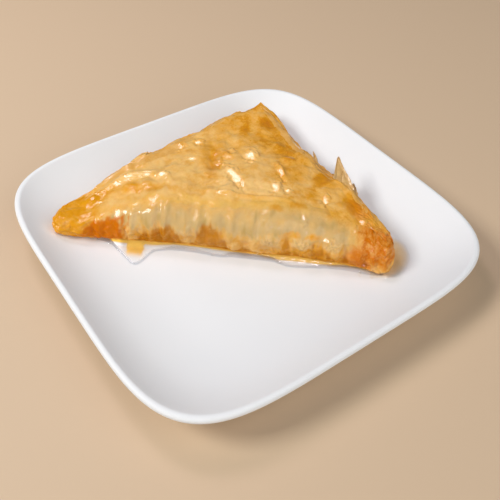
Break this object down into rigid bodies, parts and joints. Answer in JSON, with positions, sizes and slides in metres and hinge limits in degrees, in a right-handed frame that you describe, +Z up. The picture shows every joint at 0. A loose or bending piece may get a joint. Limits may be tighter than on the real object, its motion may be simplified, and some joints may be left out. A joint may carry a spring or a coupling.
{
  "type": "plate of baklava",
  "caption": "Triangle of folded filo pastry soaked in syrup, with a rounded fold, a blistered top and layered open legs, on a square plate with soft corners and a low curved wall.",
  "frame": {"origin": "centre of the plate's foot ring, on the surface that the plate stands on", "axes": "+Z up; X and Y along the plate's sides; the pastry's point is towards -X +Y and its long fold faces +X -Y"},
  "size_m": [0.18, 0.18, 0.0277],
  "materials": {
    "porcelain": "smooth white gloss glaze",
    "filo_crust": "golden baked filo, wet and shiny with syrup"
  },
  "bodies": {
    "root": {"plate": "porcelain", "baklava": "filo_crust"}
  },
  "joints": []
}
